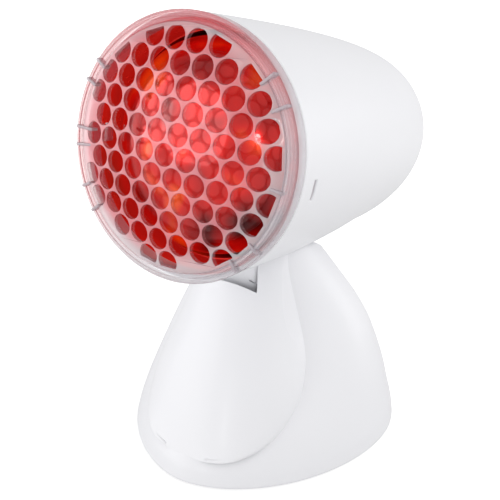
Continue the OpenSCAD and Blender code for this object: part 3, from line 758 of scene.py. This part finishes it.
# ------------------------------------------------------------------ foot
OUT = [(0, 72, -8.6, 149, 82, 1.8), (5, 70.9, -6.6, 149.5, 82, 1.8), (10, 69.9, -4.4, 149, 82.4, 1.8), (20, 67, 3.4, 146.5, 83, 1.84),
       (32, 63.5, 16.8, 143, 84, 1.9), (44, 59, 28.5, 139.5, 84, 1.96), (56, 54, 36.5, 133, 84.7, 2), (68, 47.5, 41.2, 125.5, 83.3, 2),
       (80, 39.8, 43.2, 117, 80.1, 2), (92, 31.8, 43.6, 108.7, 76.2, 2), (104, 24, 43.4, 100, 71.7, 2)]
CREASE = [(12.3, 0, -2.4), (12.9, 12, -1.4), (14.2, 22, 2.2), (16.4, 29, 8.2), (19.8, 35, 17), (24.4, 38.6, 25.2), (30.6, 40.7, 33.4),
          (40, 41.1, 41), (50, 39.4, 47.4), (60, 36.2, 52.2), (70, 32.5, 54.4), (80, 28.8, 54.9), (90, 25.3, 55.2), (100, 22.6, 57.2), (106, 21.4, 59)]


def at(t, z, k):
    i = 0
    while i < len(t) - 2 and z >= t[i + 1][0]:
        i += 1

    def sl(j):
        a, b = max(j - 1, 0), min(j + 1, len(t) - 1)
        return (t[b][k] - t[a][k]) / (t[b][0] - t[a][0])
    h = t[i + 1][0] - t[i][0]
    s = (z - t[i][0]) / h
    m0, m1 = sl(i) * h, sl(i + 1) * h
    return ((2 * s ** 3 - 3 * s * s + 1) * t[i][k] + (s ** 3 - 2 * s * s + s) * m0
            + (3 * s * s - 2 * s ** 3) * t[i + 1][k] + (s ** 3 - s * s) * m1)


def saddle(x, y):
    d = y - PIN_Y
    return min(RIM - 56.5, RIM - PIN_Y * math.tan(TILT) - math.sqrt(max(55.9 ** 2 - x * x, 1)) - 0.102 * d - 0.297 * max(d, 0) - 1.6)


def oval_pt(f, z):
    a, c = at(OUT, z, 1), at(OUT, z, 4)
    cf, sf = math.cos(f), math.sin(f)
    e = 2 / at(OUT, z, 5) if sf < 0 else 1.0
    b = c - at(OUT, z, 2) if sf < 0 else at(OUT, z, 3) - c
    return a * math.copysign(abs(cf) ** e, cf), c + b * math.copysign(abs(sf) ** e, sf)


def rear_shell():
    n, m = 224, 70
    rings = []
    rb = 1.4
    for k in range(5):  # rounded lower edge
        q = R(90 * k / 4)
        rings.append([(f, 1.6 + rb * (1 - math.cos(q)) * 1.0, -rb * (1 - math.sin(q))) for f in range(n)])
    verts, rows = [], []

    def row(fn):
        r = []
        for i in range(n):
            r.append(len(verts))
            verts.append(foot_pt(*fn(2 * math.pi * i / n)))
        rows.append(r)

    def top(f):
        return saddle(27 * math.cos(f), 73 + 29.5 * math.sin(f))

    for k in range(5):
        q = R(90 * k / 4)
        z = 1.6 + rb * (1 - math.cos(q))
        ins = rb * (1 - math.sin(q))

        def fn(f, z=z, ins=ins):
            x, y = oval_pt(f, z)
            nx, ny = math.cos(f), math.sin(f)
            return x - ins * nx, y - ins * ny, z
        row(fn)
    for k in range(1, m + 1):
        u = k / m

        def fn(f, u=u):
            zt = top(f) - 0.9
            z = 3.0 + (zt - 3.0) * u
            x, y = oval_pt(f, z)
            return x, y, z
        row(fn)
    for k in range(1, 5):  # rounded upper edge
        q = R(90 * k / 4)

        def fn(f, q=q):
            zt = top(f) - 0.9 + 0.9 * math.sin(q)
            x, y = oval_pt(f, zt)
            ins = 0.9 * (1 - math.cos(q))
            return x - ins * math.cos(f), y - ins * math.sin(f), zt
        row(fn)
    base = [verts[i] for i in rows[-1]]
    for rho in (0.94, 0.86, 0.76, 0.64, 0.5, 0.35, 0.18):
        r = []
        for i in range(n):
            b = base[i]
            cx, cy = 0.0, 0.076 - YM / 1000
            x = cx + (b.x - cx) * rho
            y = cy + (b.y - cy) * rho
            zs = saddle(x * 1000, y * 1000 + YM) / 1000
            w = min(1, (1 - rho) * 6)
            z = b.z * (1 - w) + zs * w
            r.append(len(verts))
            verts.append(Vector((x, y, z)))
        rows.append(r)
    c = len(verts)
    verts.append(Vector((0, 0.076 - YM / 1000, saddle(0, 76) / 1000)))
    faces = []
    for j in range(len(rows) - 1):
        for i in range(n):
            i2 = (i + 1) % n
            faces.append([rows[j][i], rows[j][i2], rows[j + 1][i2], rows[j + 1][i]])
    for i in range(n):
        faces.append([rows[-1][i], rows[-1][(i + 1) % n], c])
    ob = make("rear_shell_skin", verts, faces, "foot", M["white_shell"], recalc=True, auto=None)
    outward(ob, foot_pt(60, 90, 40))
    s = ob.modifiers.new("wall", "SOLIDIFY")
    s.thickness = 0.0024
    s.offset = -1
    apply_all(ob)
    # slot for the neck, opening for the switch, hole for the cord
    cutters = []

    def cutter(verts, faces):
        me = bpy.data.meshes.new("cut")
        me.from_pydata([tuple(v) for v in verts], [], faces)
        b = bmesh.new()
        b.from_mesh(me)
        bmesh.ops.recalc_face_normals(b, faces=b.faces)
        b.to_mesh(me)
        b.free()
        o = bpy.data.objects.new("cut", me)
        col.objects.link(o)
        cutters.append(o)

    box_f = [(0, 1, 3, 2), (4, 6, 7, 5), (0, 4, 5, 1), (2, 3, 7, 6), (0, 2, 6, 4), (1, 5, 7, 3)]
    cutter([foot_pt(x, y, z) for x in (-18.2, 18.2) for y in (20, 103) for z in (66, 126)], box_f)
    cs, ss = math.cos(R(16.5)), math.sin(R(16.5))

    def sw(x, y, z):
        return foot_pt(x, 142.3 + y * cs - z * ss, 34 + y * ss + z * cs)
    cutter([sw(x, y, z) for x in (-9.9, 9.9) for y in (-12, 12) for z in (-6.9, 6.9)], box_f)
    cutter([sw(x, y, z) for x in (-11.35, 11.35) for y in (0, 7) for z in (-8.35, 8.35)], box_f)
    k = 48
    cv = [foot_pt(5.3 * math.cos(2 * math.pi * i / k), y, 13 + 5.3 * math.sin(2 * math.pi * i / k)) for y in (140, 160) for i in range(k)]
    cutter(cv, [[i, (i + 1) % k, k + (i + 1) % k, k + i] for i in range(k)] + [list(range(k)), list(range(k, 2 * k))])
    for cobj in cutters:
        md = ob.modifiers.new("cut", "BOOLEAN")
        md.operation = "DIFFERENCE"
        md.solver = "MANIFOLD"
        md.object = cobj
    bpy.context.view_layer.update()
    apply_all(ob)
    for cobj in cutters:
        bpy.data.objects.remove(cobj)
    sharpen(ob, 40)
    return ob


rear = rear_shell()
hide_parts("rear_shell")


def panel_y(z):
    return -2.6 + (z - 12.3) * 0.486


def front_panel():
    NL, NM = 16, 12
    levels = [0, 0.12, 0.35, 0.7, 1.15, 1.7, 2.4, 3.3, 4.4, 5.8, 7.6, 9.8, 12.4, 15.6, 19.2, 23, 27, 31, 35, 39, 43, 47, 51, 55, 59, 63, 66.5, 69.5, 71.8, 73.6, 76, 79, 82, 85, 100]
    verts, rows = [], []
    z0 = 12.9
    for lv in levels:
        row = []
        last = lv == levels[-1]
        zb = z0 + lv
        xcb = at(CREASE, zb if not last else 96, 1) - 0.25
        s0 = math.degrees(math.asin(min(0.5, 16.0 / max(xcb, 1))))
        if zb > 56:
            s0 = math.degrees(math.asin(min(0.98, (16.0 - 2.2 * smoothstep(86.5, 98, zb)) / xcb)))
        ss = [-90 + (90 - s0) * i / NL for i in range(NL)] + [-s0 + 2 * s0 * i / NM for i in range(NM)] + [s0 + (90 - s0) * i / NL for i in range(NL + 1)]
        for sdeg in ss:
            f = R(sdeg)
            z = zb
            if zb > 56 and not last:
                # the rows bow upwards to meet the notch's arched edge
                x = at(CREASE, z, 1) * math.sin(f)
                z = zb + (3.4 - 0.0133 * x * x) * smoothstep(56, 86.5, zb)
                f = math.asin(max(-1, min(1, x / at(CREASE, z, 1)))) if abs(sdeg) < 89.9 else f
            if last:
                x1, y1 = 23 * math.sin(f), 57 - 17 * math.cos(f)
                z = saddle(x1, y1)
            xc, yc = at(CREASE, z, 1) - 0.25, at(CREASE, z, 2)
            ym = panel_y(z)
            row.append(len(verts))
            verts.append(foot_pt(xc * math.sin(f), yc - (yc - ym) * math.cos(f), z))
        rows.append(row)
    faces = []
    nn = len(rows[0])
    for j in range(len(rows) - 1):
        for i in range(nn - 1):
            if levels[j] >= 73.5 and NL <= i < NL + NM:
                continue
            faces.append([rows[j][i], rows[j][i + 1], rows[j + 1][i + 1], rows[j + 1][i]])
    ob = make("front_panel_skin", verts, faces, "foot", M["white_shell"], recalc=True, auto=None)
    outward(ob, foot_pt(0, 12, 50))
    s = ob.modifiers.new("wall", "SOLIDIFY")
    s.thickness = 0.002
    s.offset = -1
    bevel(ob, 0.00045, 3, 50).harden_normals = True
    return ob


panel = front_panel()
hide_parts("front_panel")

# ------------------------------------------------------------------ floor, light, camera
rings = [(0.02, 0), (0.3, 0), (0.8, 0), (1.6, 0), (2.6, 0), (3.6, 0.02), (5.0, 0.14), (7.0, 0.5), (8.4, 1.1), (9.2, 2.0), (9.6, 3.2)]
NF = 96
fv = [(0, 0, 0)] + [(r * math.cos(2 * math.pi * k / NF), r * math.sin(2 * math.pi * k / NF), z) for r, z in rings for k in range(NF)]
ff = [[0, 1 + k, 1 + (k + 1) % NF] for k in range(NF)]
ff += [[1 + j * NF + k, 1 + (j + 1) * NF + k, 1 + (j + 1) * NF + (k + 1) % NF, 1 + j * NF + (k + 1) % NF] for j in range(len(rings) - 1) for k in range(NF)]
me = bpy.data.meshes.new("floor")
me.from_pydata(fv, [], ff)
for poly in me.polygons:
    poly.use_smooth = True
floor = bpy.data.objects.new("floor", me)
col.objects.link(floor)
fm, nt, b = new_mat("floor_m")
b.inputs["Base Color"].default_value = (0.45, 0.45, 0.45, 1)
b.inputs["Roughness"].default_value = 0.8
b.inputs["Specular IOR Level"].default_value = 0.1
b.inputs["Emission Color"].default_value = (1, 1, 1, 1)
tc = nt.nodes.new("ShaderNodeTexCoord")
ln = nt.nodes.new("ShaderNodeVectorMath")
ln.operation = "LENGTH"
link(nt, tc, "Object", ln, 0)
mr = nt.nodes.new("ShaderNodeMapRange")
mr.interpolation_type = "SMOOTHSTEP"
mr.inputs["From Min"].default_value = 0.10
mr.inputs["From Max"].default_value = 0.60
mr.inputs["To Min"].default_value = 0.62
mr.inputs["To Max"].default_value = 1.0
link(nt, ln, "Value", mr, "Value")
lp = nt.nodes.new("ShaderNodeLightPath")
mx = nt.nodes.new("ShaderNodeMapRange")
mx.inputs["To Min"].default_value = 0.46
mx.inputs["To Max"].default_value = 1.25
link(nt, lp, "Is Camera Ray", mx, "Value")
ml = nt.nodes.new("ShaderNodeMath")
ml.operation = "MULTIPLY"
link(nt, mr, "Result", ml, 0)
link(nt, mx, "Result", ml, 1)
link(nt, ml, "Value", b, "Emission Strength")
me.materials.append(fm)

w = bpy.data.worlds.new("studio")
bpy.context.scene.world = w
w.use_nodes = True
w.node_tree.nodes["Background"].inputs["Color"].default_value = (1, 1, 1, 1)
w.node_tree.nodes["Background"].inputs["Strength"].default_value = 0.666


def area(name, pos, power, size=0.8, target=(0, 0, 0.12)):
    ld = bpy.data.lights.new(name, "AREA")
    ld.shape = "DISK"
    ld.size = size
    ld.energy = power
    o = bpy.data.objects.new(name, ld)
    o.visible_camera = False
    col.objects.link(o)
    o.location = pos
    d = Vector(target) - Vector(pos)
    o.rotation_euler = d.to_track_quat("-Z", "Y").to_euler()
    return o


area("left_far", (-1.109, -0.640, 0.346), 2.5)
area("left_near", (-0.640, -1.109, 0.346), 2.9)
area("right_back", (0.905, 0.905, 0.346), 1.7)
area("right", (1.065, 0.0, 0.866), 2.7)
area("spot", (0.090, -1.287, 0.330), 0.5, size=0.11)
area("top_back", (0.528, 0.305, 1.268), 1.8)

cam = bpy.data.cameras.new("cam")
co = bpy.data.objects.new("cam", cam)
col.objects.link(co)
bpy.context.scene.camera = co
cam.sensor_width = 36.0
cam.lens = 46.8
cam.shift_x = 0.06
cam.shift_y = -0.02
cam.clip_start = 0.01
right, up, fwd = Vector((0.8404, 0.5420, 0.0)), Vector((-0.1809, 0.2805, 0.9426)), Vector((-0.5109, 0.7922, -0.3338))
mw = Matrix(((right.x, up.x, -fwd.x, 0.1559), (right.y, up.y, -fwd.y, -0.2115 - YM / 1000), (right.z, up.z, -fwd.z, 0.2145), (0, 0, 0, 1)))
co.matrix_world = mw
sc = bpy.context.scene
sc.view_settings.view_transform = "Standard"
